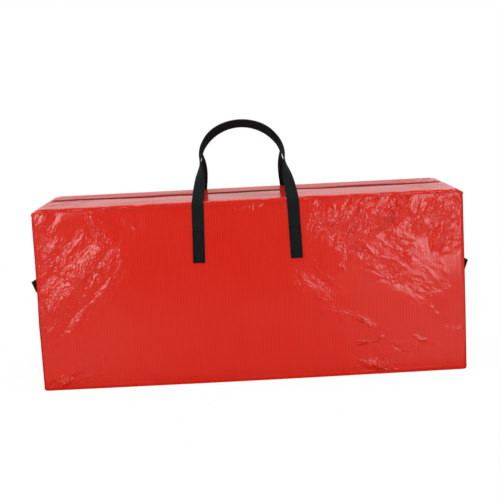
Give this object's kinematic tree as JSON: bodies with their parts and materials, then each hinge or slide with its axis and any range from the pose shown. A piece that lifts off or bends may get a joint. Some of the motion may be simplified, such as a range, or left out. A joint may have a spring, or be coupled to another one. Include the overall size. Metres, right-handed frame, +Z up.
{
  "type": "tree storage bag",
  "caption": "Long box-shaped storage bag of glossy woven plastic sheet, with a zipped top, webbing carrying handles on the long sides and a webbing grab handle on each end.",
  "frame": {"origin": "under the middle of the bag, on the floor it stands on", "axes": "+X along the bag to the end where the closed slider parks, +Y from the front to the back, +Z up"},
  "size_m": [1.337, 0.397, 0.745],
  "materials": {
    "red_sheet": "glossy coated woven plastic sheet",
    "red_tape": "matte woven tape",
    "red_coil": "satin coil",
    "red_enamel": "enamelled",
    "black_webbing": "ribbed webbing",
    "black_thread": "sewing thread"
  },
  "bodies": {
    "bag": {"bottom_panel": "red_sheet", "front_panel": "red_sheet", "back_panel": "red_sheet", "left_end_panel": "red_sheet", "right_end_panel": "red_sheet", "front_top_hem": "red_sheet", "back_top_hem": "red_sheet", "left_zip_end_tab": "red_tape", "right_zip_end_tab": "red_tape", "front_bottom_binding": "red_tape", "back_bottom_binding": "red_tape", "left_bottom_binding": "red_tape", "right_bottom_binding": "red_tape", "front_left_corner_binding": "red_tape", "front_right_corner_binding": "red_tape", "back_left_corner_binding": "red_tape", "back_right_corner_binding": "red_tape", "front_handle_left_tail": "black_webbing", "front_handle_right_tail": "black_webbing", "back_handle_left_tail": "black_webbing", "back_handle_right_tail": "black_webbing", "left_end_handle_front_tail": "black_webbing", "left_end_handle_back_tail": "black_webbing", "right_end_handle_front_tail": "black_webbing", "right_end_handle_back_tail": "black_webbing", "front_handle_left_tail_stitching": "black_thread", "front_handle_right_tail_stitching": "black_thread", "back_handle_left_tail_stitching": "black_thread", "back_handle_right_tail_stitching": "black_thread", "left_end_handle_front_tail_stitching": "black_thread", "left_end_handle_back_tail_stitching": "black_thread", "right_end_handle_front_tail_stitching": "black_thread", "right_end_handle_back_tail_stitching": "black_thread"},
    "front_flap": {"front_flap_panel": "red_sheet", "front_zip_tape": "red_tape", "front_zip_teeth": "red_coil"},
    "back_flap": {"back_flap_panel": "red_sheet", "back_zip_tape": "red_tape", "back_zip_teeth": "red_coil"},
    "slider": {"zip_slider": "red_enamel"},
    "pull": {"zip_pull": "red_enamel"},
    "front_handle": {"front_handle_strap": "black_webbing"},
    "back_handle": {"back_handle_strap": "black_webbing"},
    "left_grab_handle": {"left_end_handle_strap": "black_webbing"},
    "right_grab_handle": {"right_end_handle_strap": "black_webbing"}
  },
  "joints": [
    {"name": "front_flap_hinge", "type": "hinge", "parent": "bag", "child": "front_flap", "pos_m": [0, -0.17485, 0.518], "axis": [1, 0, 0], "range_deg": [0, 45]},
    {"name": "back_flap_hinge", "type": "hinge", "parent": "bag", "child": "back_flap", "pos_m": [0, 0.17485, 0.518], "axis": [-1, 0, 0], "range_deg": [0, 45]},
    {"name": "zip_slide", "type": "slide", "parent": "bag", "child": "slider", "axis": [-1, 0, 0], "range_m": [0, 1.178]},
    {"name": "pull_hinge", "type": "hinge", "parent": "slider", "child": "pull", "pos_m": [0.589, 0.077, 0.5194], "axis": [0, 1, 0], "range_deg": [0, 175]},
    {"name": "front_handle_hinge", "type": "hinge", "parent": "bag", "child": "front_handle", "pos_m": [0, -0.1988, 0.446], "axis": [1, 0, 0], "range_deg": [0, 175]},
    {"name": "back_handle_hinge", "type": "hinge", "parent": "bag", "child": "back_handle", "pos_m": [0, 0.1988, 0.446], "axis": [-1, 0, 0], "range_deg": [0, 175]},
    {"name": "left_grab_handle_hinge", "type": "hinge", "parent": "bag", "child": "left_grab_handle", "pos_m": [-0.62974, 0, 0.28], "axis": [0, 1, 0], "range_deg": [-60, 100]},
    {"name": "right_grab_handle_hinge", "type": "hinge", "parent": "bag", "child": "right_grab_handle", "pos_m": [0.62974, 0, 0.28], "axis": [0, -1, 0], "range_deg": [-60, 100]}
  ]
}
